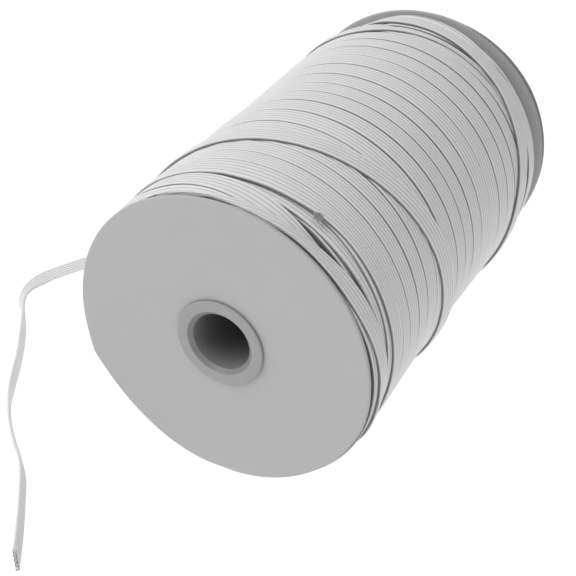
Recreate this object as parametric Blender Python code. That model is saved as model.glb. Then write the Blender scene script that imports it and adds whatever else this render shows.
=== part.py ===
"""A roll of narrow braided elastic, lying on its side with its loose end paid out across the table.

The spool is a moulded plastic hub in two halves, pushed together through the centres of two
card discs. The elastic is wound between the discs a little proud of their rims. The roll's axis
runs along Y at AXIS_HEIGHT, and the table is the plane z = 0, with the origin below the middle.
Lengths are in metres and angles in degrees. Around the roll, an angle is measured from the top
towards +X, and a distance along it is measured from the outer face of the front disc, at -Y.
"""

import math

import bpy
import bmesh
from mathutils import Vector

# The spool
DISC_RADIUS = 0.0400
DISC_THICKNESS = 0.0010
DISC_EDGE_ROUND = 0.00025
SPOOL_LENGTH = 0.1248
FLAT_SPOT = 0.0002
AXIS_HEIGHT = DISC_RADIUS - FLAT_SPOT
CLEARANCE = 0.0003
BORE_RADIUS = 0.00783
MOUTH_RADIUS = 0.00887
MOUTH_DEPTH = 0.0011
HUB_BARREL_RADIUS = 0.0096
COLLAR_RADIUS = 0.0123
COLLAR_THICKNESS = 0.0006
COLLAR_ROUND = 0.0003

# The elastic tape and how it is wound
TAPE_WIDTH = 0.0062
TAPE_THICKNESS = 0.00095
TURN_COUNT = 18
TURN_GROOVE = 0.00045
GROOVE_SHARE = 0.18
CROSSING_LIFT = 0.0008
CROSSING_FADE = 25.0
WOUND_START = DISC_THICKNESS + CLEARANCE
WOUND_END = SPOOL_LENGTH - DISC_THICKNESS - CLEARANCE
WOUND_BORE = HUB_BARREL_RADIUS + CLEARANCE

# How fine the round pieces are
DISC_SIDES = 96
HUB_SIDES = 48
WOUND_SIDES = 48
LOOSE_END_STEP = 0.0034

# Outline of the front disc: angle, how far its rim stands proud of the circle.
# The card was knocked there: one corner is pushed out and the rim beside it is flattened.
KNOCKED_RIM = (
    (-170.0, 0.00000),
    (-152.0, -0.00020),
    (-142.0, -0.00040),
    (-126.0, -0.00010),
    (-114.0, 0.00090),
    (-104.0, 0.00020),
    (-96.0, 0.00000),
)

# Wound form: distance along the roll, radius as a share of the disc's radius.
WOUND_FORM = (
    (0.0013, 0.985),
    (0.0035, 1.012),
    (0.0080, 1.018),
    (0.0160, 1.016),
    (0.0280, 1.007),
    (0.0400, 0.997),
    (0.0500, 1.010),
    (0.0640, 1.000),
    (0.0800, 1.007),
    (0.0960, 1.013),
    (0.1100, 1.003),
    (0.1140, 0.985),
    (0.1168, 0.930),
    (0.1195, 0.860),
    (0.1235, 0.740),
)

# The last turns, at the back end, slope down to the disc: distances of their edges.
SHOULDER_EDGES = (0.1150, 0.1170, 0.1195, 0.1215)

# Turns that cross over the others: start angle, start distance, end angle, end distance.
CROSSINGS = (
    (-95.0, 0.0254, 140.0, 0.0530),
    (-60.0, 0.1190, 135.0, 0.0950),
    (-20.0, 0.0030, 125.0, 0.0130),
    (-80.0, 0.0220, 60.0, 0.0045),
    (-155.0, 0.0200, -30.0, 0.0080),
)

# The loose end on the table: x, y, lean. The tape leaves the roll lying flat, rolls onto its
# edge through the bend, with its inner edge upwards, and stays on edge to its cut end.
LOOSE_END_ROUTE = (
    (-0.0130, 0.0376, 0.0),
    (-0.0240, 0.0376, 0.0),
    (-0.0390, 0.0360, 0.0),
    (-0.0540, 0.0308, 0.0),
    (-0.0668, 0.0226, 2.0),
    (-0.0774, 0.0122, 1.0),
    (-0.0845, 0.0035, 2.0),
    (-0.0890, -0.0037, 3.0),
    (-0.0925, -0.0106, 4.0),
    (-0.0937, -0.0150, 6.0),
    (-0.0934, -0.0198, 17.0),
    (-0.0909, -0.0264, 48.0),
    (-0.0877, -0.0313, 78.0),
    (-0.0841, -0.0358, 88.0),
    (-0.0791, -0.0429, 92.0),
    (-0.0727, -0.0532, 89.0),
    (-0.0679, -0.0620, 88.0),
    (-0.0631, -0.0699, 84.0),
    (-0.0564, -0.0779, 90.0),
    (-0.0499, -0.0840, 96.0),
    (-0.0432, -0.0902, 94.0),
    (-0.0371, -0.0983, 93.0),
    (-0.0308, -0.1075, 94.0),
    (-0.0250, -0.1166, 94.0),
)


def between(rows, value):
    """The second column of a short table, read between its rows at a value of the first."""
    if value <= rows[0][0]:
        return rows[0][1]
    for low, high in zip(rows, rows[1:]):
        if value <= high[0]:
            share = (value - low[0]) / (high[0] - low[0])
            return low[1] + share * (high[1] - low[1])
    return rows[-1][1]


def smooth_step(share):
    """Rises smoothly from 0 to 1 as share goes from 0 to 1."""
    share = min(max(share, 0.0), 1.0)
    return share * share * (3.0 - 2.0 * share)


def around_roll(distance, radius, angle):
    """A point at a distance along the roll, a radius from its axis and an angle from the top."""
    turn = math.radians(angle)
    return Vector((radius * math.sin(turn), distance - SPOOL_LENGTH / 2, AXIS_HEIGHT + radius * math.cos(turn)))


def add_object(name, points, faces, material):
    """One closed piece from its points and faces, shaded smooth, with its normals pointing out."""
    mesh = bpy.data.meshes.new(name)
    mesh.from_pydata(points, [], faces)
    shape = bmesh.new()
    shape.from_mesh(mesh)
    bmesh.ops.recalc_face_normals(shape, faces=shape.faces)
    shape.to_mesh(mesh)
    shape.free()
    mesh.shade_smooth()
    mesh.set_sharp_from_angle(angle=math.radians(40.0))
    mesh.materials.append(material)
    piece = bpy.data.objects.new(name, mesh)
    bpy.context.scene.collection.objects.link(piece)
    return piece


def add_material(name, colour, roughness):
    """A Principled material of one colour."""
    material = bpy.data.materials.new(name)
    material.use_nodes = True
    shader = material.node_tree.nodes["Principled BSDF"]
    shader.inputs["Base Color"].default_value = (*colour, 1.0)
    shader.inputs["Roughness"].default_value = roughness
    shader.inputs["Metallic"].default_value = 0.0
    return material


def ring_faces(ring_count, sides, closed_section):
    """Four-sided faces between each ring of points and the next, and back to the first if closed."""
    faces = []
    last = ring_count if closed_section else ring_count - 1
    for ring in range(last):
        following = (ring + 1) % ring_count
        for side in range(sides):
            beside = (side + 1) % sides
            faces.append((ring * sides + side, ring * sides + beside,
                          following * sides + beside, following * sides + side))
    return faces


def turned_ring(name, section, sides, material, rim=None):
    """A ring turned about the roll's axis from its closed section of (distance, radius) points.

    rim gives what is added to the radius of the section's outer points at each angle.
    """
    widest = max(radius for _, radius in section)
    points = []
    for distance, radius in section:
        outer = radius > 0.9 * widest
        for side in range(sides):
            angle = 360.0 * side / sides - 180.0
            proud = between(rim, angle) if rim and outer else 0.0
            point = around_roll(distance, radius + proud, angle)
            point.z = max(point.z, 0.0)
            points.append(point)
    return add_object(name, points, ring_faces(len(section), sides, True), material)


def disc(name, outer_face, inward, material, rim=None):
    """A card disc with softened rim edges; inward is +1 for the front disc and -1 for the back one."""
    hole = HUB_BARREL_RADIUS + CLEARANCE
    soft = DISC_EDGE_ROUND
    section = (
        (0.0, hole),
        (0.0, DISC_RADIUS - soft),
        (soft, DISC_RADIUS),
        (DISC_THICKNESS - soft, DISC_RADIUS),
        (DISC_THICKNESS, DISC_RADIUS - soft),
        (DISC_THICKNESS, hole),
    )
    placed = [(outer_face + inward * depth, radius) for depth, radius in section]
    return turned_ring(name, placed, DISC_SIDES, material, rim)


def hub_half(name, outer_face, inward, material):
    """Half the hub: a thin round collar on the disc's outer face, a countersunk mouth and a barrel."""
    face = -(CLEARANCE + COLLAR_THICKNESS)
    soft = COLLAR_ROUND
    barrel_end = SPOOL_LENGTH / 2 - CLEARANCE / 2
    section = (
        (-CLEARANCE, HUB_BARREL_RADIUS),
        (-CLEARANCE, COLLAR_RADIUS),
        (face + 0.55 * soft, COLLAR_RADIUS - 0.15 * soft),
        (face + 0.15 * soft, COLLAR_RADIUS - 0.55 * soft),
        (face, COLLAR_RADIUS - 1.3 * soft),
        (face, MOUTH_RADIUS + 0.5 * soft),
        (face + 0.4 * soft, MOUTH_RADIUS),
        (face + MOUTH_DEPTH, BORE_RADIUS),
        (barrel_end, BORE_RADIUS),
        (barrel_end, HUB_BARREL_RADIUS),
    )
    placed = [(outer_face + inward * depth, radius) for depth, radius in section]
    return turned_ring(name, placed, HUB_SIDES, material)


def crossing_lift(distance, angle):
    """How far the turns that cross over the others raise the surface at a place on the roll."""
    lift = 0.0
    for start_angle, start, end_angle, end in CROSSINGS:
        if not start_angle < angle < end_angle:
            continue
        share = (angle - start_angle) / (end_angle - start_angle)
        off_centre = abs(distance - (start + share * (end - start))) / TAPE_WIDTH
        across = 1.0 - smooth_step((off_centre - 0.35) / 0.35)
        ends = smooth_step(min(angle - start_angle, end_angle - angle) / CROSSING_FADE)
        lift = max(lift, CROSSING_LIFT * across * ends)
    return lift


def wound_elastic(material):
    """The winding: a groove beside each turn, the crossing turns, and the slope at the back end."""
    rings = []
    for turn in range(TURN_COUNT):
        groove = WOUND_START + turn * TAPE_WIDTH
        rings.append((groove, TURN_GROOVE if turn else 0.0))
        rings.append((groove + GROOVE_SHARE * TAPE_WIDTH, 0.0))
        rings.append((groove + (1.0 - GROOVE_SHARE) * TAPE_WIDTH, 0.0))
    rings.append((WOUND_START + TURN_COUNT * TAPE_WIDTH, TURN_GROOVE))
    rings += [(distance, 0.0) for distance in SHOULDER_EDGES]
    rings.append((WOUND_END, 0.0))
    points = []
    for distance, depth in rings:
        for side in range(WOUND_SIDES):
            angle = 360.0 * side / WOUND_SIDES - 180.0
            radius = DISC_RADIUS * between(WOUND_FORM, distance) - depth + crossing_lift(distance, angle)
            point = around_roll(distance, radius, angle)
            point.z = max(point.z, 0.0)
            points.append(point)
    for distance in (WOUND_END, WOUND_START):
        for side in range(WOUND_SIDES):
            points.append(around_roll(distance, WOUND_BORE, 360.0 * side / WOUND_SIDES - 180.0))
    return add_object("wound_elastic", points, ring_faces(len(rings) + 2, WOUND_SIDES, True), material)


def through(rows, place):
    """A point on the smooth curve through the rows of a table; place counts the rows passed."""
    first = min(int(place), len(rows) - 2)
    share = place - first
    before, start, end, after = (rows[min(max(first + step, 0), len(rows) - 1)] for step in (-1, 0, 1, 2))
    values = []
    for a, b, c, d in zip(before, start, end, after):
        bend = 2.0 * a - 5.0 * b + 4.0 * c - d + share * (3.0 * b - a - 3.0 * c + d)
        values.append(b + 0.5 * share * (c - a + share * bend))
    return values


def loose_end(material):
    """The tape's free length: a flat section carried along its route, its lowest edge on the table."""
    lengths = [math.dist(a[:2], b[:2]) for a, b in zip(LOOSE_END_ROUTE, LOOSE_END_ROUTE[1:])]
    places = [0.0]
    for row, length in enumerate(lengths):
        steps = max(1, round(length / LOOSE_END_STEP))
        places += [row + (step + 1) / steps for step in range(steps)]
    points = []
    for place in places:
        x, y, lean = through(LOOSE_END_ROUTE, place)
        behind = through(LOOSE_END_ROUTE, max(place - 0.05, 0.0))
        ahead = through(LOOSE_END_ROUTE, min(place + 0.05, len(lengths)))
        along = Vector((ahead[0] - behind[0], ahead[1] - behind[1], 0.0)).normalized()
        inner = Vector((-along.y, along.x, 0.0))
        tilt = math.radians(lean)
        across = inner * math.cos(tilt) + Vector((0.0, 0.0, math.sin(tilt)))
        through_tape = across.cross(along)
        height = 0.5 * (TAPE_WIDTH * abs(across.z) + TAPE_THICKNESS * abs(through_tape.z))
        centre = Vector((x, y, height))
        for wide, thick in ((-0.5, -0.5), (0.5, -0.5), (0.5, 0.5), (-0.5, 0.5)):
            points.append(centre + across * (wide * TAPE_WIDTH) + through_tape * (thick * TAPE_THICKNESS))
    faces = ring_faces(len(places), 4, False)
    end = 4 * (len(places) - 1)
    faces += [(0, 1, 2, 3), (end + 3, end + 2, end + 1, end)]
    return add_object("loose_end", points, faces, material)


for old in list(bpy.data.objects):
    bpy.data.objects.remove(old, do_unlink=True)

card = add_material("white_card", (0.62, 0.62, 0.62), 0.75)
plastic = add_material("white_plastic", (0.60, 0.60, 0.60), 0.35)
elastic = add_material("braided_elastic", (0.74, 0.74, 0.74), 0.85)

disc("front_disc", 0.0, 1.0, card, KNOCKED_RIM)
disc("back_disc", SPOOL_LENGTH, -1.0, card)
hub_half("front_hub", 0.0, 1.0, plastic)
hub_half("back_hub", SPOOL_LENGTH, -1.0, plastic)
wound_elastic(elastic)
loose_end(elastic)
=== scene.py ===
import math

import bmesh
import bpy
import numpy as np
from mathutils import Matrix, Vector


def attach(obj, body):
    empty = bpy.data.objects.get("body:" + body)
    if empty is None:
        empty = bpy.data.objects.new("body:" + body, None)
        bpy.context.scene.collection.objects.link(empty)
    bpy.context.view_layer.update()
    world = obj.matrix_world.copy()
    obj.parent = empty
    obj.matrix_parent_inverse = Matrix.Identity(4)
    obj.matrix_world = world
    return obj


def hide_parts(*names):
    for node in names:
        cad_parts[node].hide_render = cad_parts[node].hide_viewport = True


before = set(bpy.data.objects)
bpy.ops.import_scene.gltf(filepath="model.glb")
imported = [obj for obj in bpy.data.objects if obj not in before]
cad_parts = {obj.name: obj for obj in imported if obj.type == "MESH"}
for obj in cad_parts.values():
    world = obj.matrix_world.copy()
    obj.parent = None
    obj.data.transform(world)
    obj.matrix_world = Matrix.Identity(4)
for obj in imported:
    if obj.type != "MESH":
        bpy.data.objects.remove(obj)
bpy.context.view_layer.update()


# ----------------------------------------
# The view. A long lens above the table looks down along the roll from its front end and a little
# from its right, so that the front disc, the top turns and the loose end all show.

VIEW_AIM = Vector((-0.0064, -0.0145, 0.0252))
VIEW_AZIMUTH = math.radians(27.71)
VIEW_ELEVATION = math.radians(34.35)
VIEW_DISTANCE = 0.3590
LENS_MM = 80.93

lens = bpy.data.cameras.new("view")
lens.lens = LENS_MM
lens.sensor_width = 36.0
lens.clip_start = 0.01
camera = bpy.data.objects.new("view", lens)
forward = Vector((
    -math.sin(VIEW_AZIMUTH) * math.cos(VIEW_ELEVATION),
    math.cos(VIEW_AZIMUTH) * math.cos(VIEW_ELEVATION),
    -math.sin(VIEW_ELEVATION),
))
camera.location = VIEW_AIM - forward * VIEW_DISTANCE
camera.rotation_euler = (math.pi / 2 - VIEW_ELEVATION, 0.0, VIEW_AZIMUTH)
bpy.context.scene.collection.objects.link(camera)
bpy.context.scene.camera = camera


# ----------------------------------------
# The tape itself. Flat elastic is braided from polyester threads around five rubber cords, so it
# has five soft ribs along it and a fine herringbone of threads. Every length of it on the roll
# and on the table has this section and this finish.

TAPE_WIDTH = 0.0062
TAPE_THICKNESS = 0.00095
RIB_COUNT = 5
RIB_RELIEF = 0.00022
RIB_ROUNDNESS = 0.6
RIBLESS_MARGIN = 0.6
STEPS_PER_RIB = 6
EDGE_ROUNDING = 0.00055
EDGE_FULLNESS = 0.35
UNDERSIDE = ((0.485, 0.10), (0.43, 0.0), (-0.43, 0.0), (-0.485, 0.10))
STITCH_LENGTH = 0.00052
STITCH_SLANT = 0.8
TAPE_WHITE = 0.85
# Painted shade: the grooves between the ribs and the tape's edges are darkened in its colour, by
# GROOVE_SHADE and EDGE_SHADE.
GROOVE_SHADE = 0.42
THREAD_SHADE = 0.05
THREAD_RELIEF = 0.00008
PATCHINESS = 0.06
# The grooves' painted shade varies in patches: its least share, and the spread above it.
LEAST_GROOVE_SHADE = 0.2
GROOVE_SHADE_SPREAD = 1.6
EDGE_SHADE = 0.80
EDGE_SHADE_START = 0.935
EDGE_SHADE_RISE = 15.0


def tape_section():
    """The tape's closed outline: shares of its width from -0.5 to 0.5, and heights above its underside."""
    steps = RIB_COUNT * STEPS_PER_RIB
    across = [-0.5] + [-0.5 + (step + 0.5) / steps for step in range(steps)] + [0.5]
    heights = []
    for share in across:
        in_from_edge = (0.5 - abs(share)) * TAPE_WIDTH
        roundness = min(in_from_edge / EDGE_ROUNDING, 1.0)
        edge = EDGE_FULLNESS + (1.0 - EDGE_FULLNESS) * math.sqrt(1.0 - (1.0 - roundness) ** 2)
        rib = abs(math.sin(math.pi * RIB_COUNT * (share + 0.5)))
        inner = 1.0 if abs(share) < 0.5 - RIBLESS_MARGIN / RIB_COUNT else 0.0
        heights.append(edge * TAPE_THICKNESS - inner * RIB_RELIEF * (1.0 - rib ** RIB_ROUNDNESS))
    across += [share for share, _ in UNDERSIDE]
    heights += [height * TAPE_THICKNESS for _, height in UNDERSIDE]
    return np.array(across), np.array(heights)


def place_node(tree, kind, **settings):
    """A node of that kind in a material or group, with its own settings and its unlinked values."""
    node = tree.nodes.new(kind)
    for name, value in settings.items():
        if name in node.bl_rna.properties:
            setattr(node, name, value)
        else:
            node.inputs[name.replace("_", " ")].default_value = value
    return node


def calculate(tree, operation, first, second=0.0):
    """A Math node's result: operation of two values or sockets."""
    node = tree.nodes.new("ShaderNodeMath")
    node.operation = operation
    for socket, value in zip(node.inputs, (first, second)):
        if isinstance(value, (int, float)):
            socket.default_value = value
        else:
            tree.links.new(value, socket)
    return node.outputs[0]


def plus(tree, first, second):
    """The sum of two values or sockets."""
    return calculate(tree, "ADD", first, second)


def minus(tree, first, second):
    """The difference of two values or sockets."""
    return calculate(tree, "SUBTRACT", first, second)


def times(tree, first, second):
    """The product of two values or sockets."""
    return calculate(tree, "MULTIPLY", first, second)


def noise(tree, place, scale, detail, roughness):
    """A soft noise over the places that a socket gives, from 0 to 1."""
    texture = place_node(tree, "ShaderNodeTexNoise", Scale=scale, Detail=detail, Roughness=roughness)
    tree.links.new(place, texture.inputs["Vector"])
    return texture.outputs["Fac"]


def new_group(name, inputs, outputs):
    """A shader node group with named float or vector inputs and float outputs."""
    group = bpy.data.node_groups.new(name, "ShaderNodeTree")
    for socket_name, kind, value in inputs:
        socket = group.interface.new_socket(socket_name, in_out="INPUT", socket_type=kind)
        if kind == "NodeSocketFloat":
            socket.default_value = value
    for socket_name in outputs:
        group.interface.new_socket(socket_name, in_out="OUTPUT", socket_type="NodeSocketFloat")
    return group, group.nodes.new("NodeGroupInput"), group.nodes.new("NodeGroupOutput")


def braid_group():
    """The braid: how deep a place lies between two ribs, how raised its thread is, how patchy it is,
    and how near the tape's edge. Tape is the place on the tape in metres, along it and across it."""
    group, given, out = new_group(
        "tape_braid",
        [("Tape", "NodeSocketVector", None), ("Rib Width", "NodeSocketFloat", 0.001),
         ("Half Width", "NodeSocketFloat", 0.003), ("Stitch Length", "NodeSocketFloat", STITCH_LENGTH)],
        ["Valley", "Thread", "Patch", "Edge"],
    )
    links = group.links
    split = group.nodes.new("ShaderNodeSeparateXYZ")
    links.new(given.outputs["Tape"], split.inputs[0])
    along, across = split.outputs[0], split.outputs[1]
    from_edge = plus(group, across, given.outputs["Half Width"])
    rib_place = calculate(group, "DIVIDE", from_edge, given.outputs["Rib Width"])
    rib_share = calculate(group, "FRACT", rib_place)
    rib_number = calculate(group, "FLOOR", rib_place)
    side = minus(group, times(group, calculate(group, "FLOORED_MODULO", rib_number, 2.0), 2.0), 1.0)
    off_middle = calculate(group, "ABSOLUTE", minus(group, rib_share, 0.5))
    valley = calculate(group, "POWER", times(group, off_middle, 2.0), 4.0)
    slant = times(group, side, times(group, rib_share, STITCH_SLANT))
    stitch = plus(group, calculate(group, "DIVIDE", along, given.outputs["Stitch Length"]), slant)
    wave = calculate(group, "SINE", times(group, stitch, 2.0 * math.pi))
    raised = plus(group, times(group, wave, 0.5), 0.5)
    outwards = calculate(group, "DIVIDE", calculate(group, "ABSOLUTE", across), given.outputs["Half Width"])
    edge = times(group, minus(group, outwards, EDGE_SHADE_START), EDGE_SHADE_RISE)
    edge = calculate(group, "MINIMUM", calculate(group, "MAXIMUM", edge, 0.0), 1.0)
    links.new(edge, out.inputs["Edge"])
    links.new(valley, out.inputs["Valley"])
    links.new(times(group, raised, minus(group, 1.0, valley)), out.inputs["Thread"])
    links.new(noise(group, given.outputs["Tape"], 90.0, 3.0, 0.6), out.inputs["Patch"])
    return group


tape_braid = braid_group()


def new_material(name, **values):
    """A material, its node tree, and its shader, with values on the shader's own sockets."""
    material = bpy.data.materials.new(name)
    material.use_nodes = True
    shader = material.node_tree.nodes["Principled BSDF"]
    for socket, value in values.items():
        shader.inputs[socket.replace("_", " ")].default_value = value
    return material, material.node_tree, shader


def shade_colour(tree, shader, colour, shade):
    """The base colour: a grey or a colour socket, times a shade that changes over the surface."""
    tint = place_node(tree, "ShaderNodeMix", data_type="RGBA", blend_type="MULTIPLY")
    tint.inputs[0].default_value = 1.0
    if isinstance(colour, float):
        tint.inputs[6].default_value = (colour, colour, colour, 1.0)
    else:
        tree.links.new(colour, tint.inputs[6])
    tree.links.new(shade, tint.inputs[7])
    tree.links.new(tint.outputs[2], shader.inputs["Base Color"])


def raise_surface(tree, shader, height, strength, distance):
    """A fine relief in the surface, from a height that changes over it."""
    bump = place_node(tree, "ShaderNodeBump", Strength=strength, Distance=distance)
    tree.links.new(height, bump.inputs["Height"])
    tree.links.new(bump.outputs[0], shader.inputs["Normal"])


def tape_finish(name, white, groove_shade, edge_shade, patchiness):
    """A braided finish: its white, the painted shade in its grooves and along its edges, and how patchy it
    is.
    """
    material, tree, shader = new_material(
        name, Roughness=0.82, Specular_IOR_Level=0.25, Sheen_Weight=0.08, Sheen_Roughness=0.6)
    place = place_node(tree, "ShaderNodeUVMap", uv_map="tape")
    braid = place_node(tree, "ShaderNodeGroup", node_tree=tape_braid, Rib_Width=TAPE_WIDTH / RIB_COUNT,
                       Half_Width=0.5 * TAPE_WIDTH, Stitch_Length=STITCH_LENGTH)
    tree.links.new(place.outputs[0], braid.inputs["Tape"])
    # Painted shade: the grooves are darkened, more in some patches than in others, and the edges are
    # darkened as well.
    patchy_groove_shade = plus(tree, times(tree, braid.outputs["Patch"], GROOVE_SHADE_SPREAD), LEAST_GROOVE_SHADE)
    inside = minus(tree, 1.0, braid.outputs["Edge"])
    groove = times(tree, times(tree, braid.outputs["Valley"], patchy_groove_shade), inside)
    at_edge = times(tree, braid.outputs["Edge"], edge_shade)
    dark = plus(tree, times(tree, groove, groove_shade), at_edge)
    light = times(tree, minus(tree, braid.outputs["Thread"], 0.5), THREAD_SHADE)
    patch = times(tree, minus(tree, braid.outputs["Patch"], 0.5), patchiness)
    shade_colour(tree, shader, white, plus(tree, minus(tree, light, dark), plus(tree, patch, 1.0)))
    relief = minus(tree, braid.outputs["Thread"], braid.outputs["Valley"])
    raise_surface(tree, shader, relief, 0.6, THREAD_RELIEF)
    return material


tape_white = tape_finish("braided_tape", TAPE_WHITE, GROOVE_SHADE, EDGE_SHADE, PATCHINESS)


def new_piece(name, points, faces, material, tape_places=None):
    """A piece from its points and faces; tape_places are its points' places on the tape, if braided."""
    mesh = bpy.data.meshes.new(name)
    mesh.from_pydata(points.reshape(-1, 3).tolist(), [], faces)
    if tape_places is not None:
        layer = mesh.uv_layers.new(name="tape")
        at_loop = np.zeros(len(mesh.loops), np.int32)
        mesh.loops.foreach_get("vertex_index", at_loop)
        layer.data.foreach_set("uv", tape_places.reshape(-1, 2)[at_loop].astype(np.float32).ravel())
    mesh.shade_smooth()
    mesh.materials.append(material)
    piece = bpy.data.objects.new(name, mesh)
    bpy.context.scene.collection.objects.link(piece)
    return piece


def together(*values):
    """Values over the same places, put together as the coordinates of points."""
    return np.stack(np.broadcast_arrays(*values), axis=-1)


def skin_sections(name, points, tape_places, material):
    """A closed tape mesh from its sections: points is (sections, outline, 3), and tape_places the
    matching (sections, outline, 2) places on the tape. Both ends are capped."""
    sections, outline = points.shape[:2]
    corner = np.arange(sections * outline).reshape(sections, outline)
    following = np.roll(corner, -1, axis=1)
    sides = np.stack([corner[:-1], following[:-1], following[1:], corner[1:]], axis=-1).reshape(-1, 4)
    faces = sides.tolist() + [corner[0][::-1].tolist(), corner[-1].tolist()]
    return new_piece(name, points, faces, material, tape_places)


def join_pieces(name, pieces):
    """Several meshes as one piece of that name."""
    with bpy.context.temp_override(active_object=pieces[0], selected_editable_objects=pieces):
        bpy.ops.object.join()
    pieces[0].name = name
    return pieces[0]


def show(piece, slot, *nodes):
    """Fixes a piece to the roll and lets it stand for its CAD nodes; slot is not used."""
    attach(piece, "root")
    if nodes:
        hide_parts(*nodes)


# ----------------------------------------
# The loose end: the last length of the tape, which leaves the roll at the table. It lies flat at
# first, rolls onto its edge through the bend, inner edge up, and stays on edge to its end, which
# was cut a little aslant and has started to fray.

LOOSE_WHITE = 0.90
LOOSE_GROOVE_SHADE = 0.45

# Where the tape's middle lies on the table, and how far it leans from flat, in degrees.
LOOSE_END_ROUTE = (
    (-0.0130, 0.0376, 0.0), (-0.0240, 0.0376, 0.0), (-0.0390, 0.0360, 0.0), (-0.0540, 0.0308, 0.0),
    (-0.0668, 0.0226, 2.0), (-0.0774, 0.0122, 1.0), (-0.0845, 0.0035, 2.0), (-0.0890, -0.0037, 3.0),
    (-0.0925, -0.0106, 4.0), (-0.0937, -0.0150, 6.0), (-0.0934, -0.0198, 17.0),
    (-0.0909, -0.0264, 48.0), (-0.0877, -0.0313, 78.0), (-0.0841, -0.0358, 88.0),
    (-0.0791, -0.0429, 92.0), (-0.0727, -0.0532, 89.0), (-0.0679, -0.0620, 88.0),
    (-0.0631, -0.0699, 84.0), (-0.0564, -0.0779, 90.0), (-0.0499, -0.0840, 96.0),
    (-0.0432, -0.0902, 94.0), (-0.0371, -0.0983, 93.0), (-0.0308, -0.1075, 94.0),
    (-0.0250, -0.1166, 94.0),
)
LOOSE_END_STEP = 0.0010
CUT_ROWS = 8
CUT_SLANT = 0.0014
CUT_RAGGEDNESS = 0.0004
FRAYED_THREADS = 11
FRAYED_SPREAD = 0.92
FRAYED_REACH = 0.0006
FRAYED_OVERLAP = 0.0006
FRAYED_RADIUS = 0.00009

# The loose end's grooves are darkened with painted shade, its edges not; its loose threads have none.
loose_white = tape_finish("loose_tape", LOOSE_WHITE, LOOSE_GROOVE_SHADE, 0.0, PATCHINESS)
thread_white = tape_finish("loose_thread", LOOSE_WHITE, 0.0, 0.0, PATCHINESS)


def through(rows, place):
    """A point on the smooth curve through the rows of a table; place counts the rows passed."""
    first = min(int(place), len(rows) - 2)
    share = place - first
    before, start, end, after = (rows[min(max(first + step, 0), len(rows) - 1)] for step in (-1, 0, 1, 2))
    values = []
    for a, b, c, d in zip(before, start, end, after):
        bend = 2.0 * a - 5.0 * b + 4.0 * c - d + share * (3.0 * b - a - 3.0 * c + d)
        values.append(b + 0.5 * share * (c - a + share * bend))
    return values


def loose_end_frames():
    """Along the route: the tape's centre, the ways across, through and along it, and its length so far."""
    places = [0.0]
    for row, (start, end) in enumerate(zip(LOOSE_END_ROUTE, LOOSE_END_ROUTE[1:])):
        steps = max(1, round(math.dist(start[:2], end[:2]) / LOOSE_END_STEP))
        places += [row + (step + 1) / steps for step in range(steps)]
    frames = []
    length = 0.0
    for place in places:
        x, y, lean = through(LOOSE_END_ROUTE, place)
        behind = through(LOOSE_END_ROUTE, max(place - 0.05, 0.0))
        ahead = through(LOOSE_END_ROUTE, min(place + 0.05, len(LOOSE_END_ROUTE) - 1))
        along = Vector((ahead[0] - behind[0], ahead[1] - behind[1], 0.0)).normalized()
        inner = Vector((-along.y, along.x, 0.0))
        tilt = math.radians(lean)
        across = inner * math.cos(tilt) + Vector((0.0, 0.0, math.sin(tilt)))
        through_tape = across.cross(along)
        height = 0.5 * (TAPE_WIDTH * abs(across.z) + TAPE_THICKNESS * abs(through_tape.z))
        centre = Vector((x, y, height))
        if frames:
            length += (centre - frames[-1][0]).length
        frames.append((centre, across, through_tape, along, length))
    return frames


loose_frames = loose_end_frames()


def loose_end_piece():
    """The tape along its route, ribbed on both faces, with a slanting, slightly ragged cut."""
    share, height = (values[:RIB_COUNT * STEPS_PER_RIB + 2] for values in tape_section())
    height = height - 0.5 * TAPE_THICKNESS
    outline_share = np.concatenate([share, share[::-1][1:-1]])
    outline_height = np.concatenate([height, -height[::-1][1:-1]])
    points = []
    places = []
    for number, (centre, across, through_tape, along, length) in enumerate(loose_frames):
        into_cut = max(0.0, (number - (len(loose_frames) - 1 - CUT_ROWS)) / CUT_ROWS)
        ragged = 0.5 * np.sin(outline_share * 41.0) + 0.5 * np.sin(outline_share * 97.0 + 1.0)
        shift = into_cut * (-(outline_share + 0.5) * CUT_SLANT + CUT_RAGGEDNESS * ragged)
        section = (np.array(centre) + np.outer(outline_share * TAPE_WIDTH, across)
                   + np.outer(outline_height, through_tape) + np.outer(shift, along))
        section[:, 2] = np.maximum(section[:, 2], 0.0)
        points.append(section)
        places.append(together(length + shift, outline_share * TAPE_WIDTH))
    return skin_sections("loose_end_tape", np.array(points), np.array(places), loose_white)


def strand(name, points, radius, material):
    """A thread: a six-sided tube through the points, thinner towards its end."""
    along = np.gradient(points, axis=0)
    along /= np.linalg.norm(along, axis=1)[:, None]
    side = np.cross(along, (0.31, 0.17, 0.93))
    side /= np.linalg.norm(side, axis=1)[:, None]
    other = np.cross(along, side)
    turn = np.radians(60.0) * np.arange(6)
    ring = np.cos(turn)[None, :, None] * side[:, None, :] + np.sin(turn)[None, :, None] * other[:, None, :]
    thickness = radius * np.linspace(1.0, 0.5, len(points))[:, None, None]
    places = together(np.linspace(0.0, 0.002, len(points))[:, None], 0.0 * turn[None, :])
    return skin_sections(name, points[:, None, :] + thickness * ring, places, material)


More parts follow.
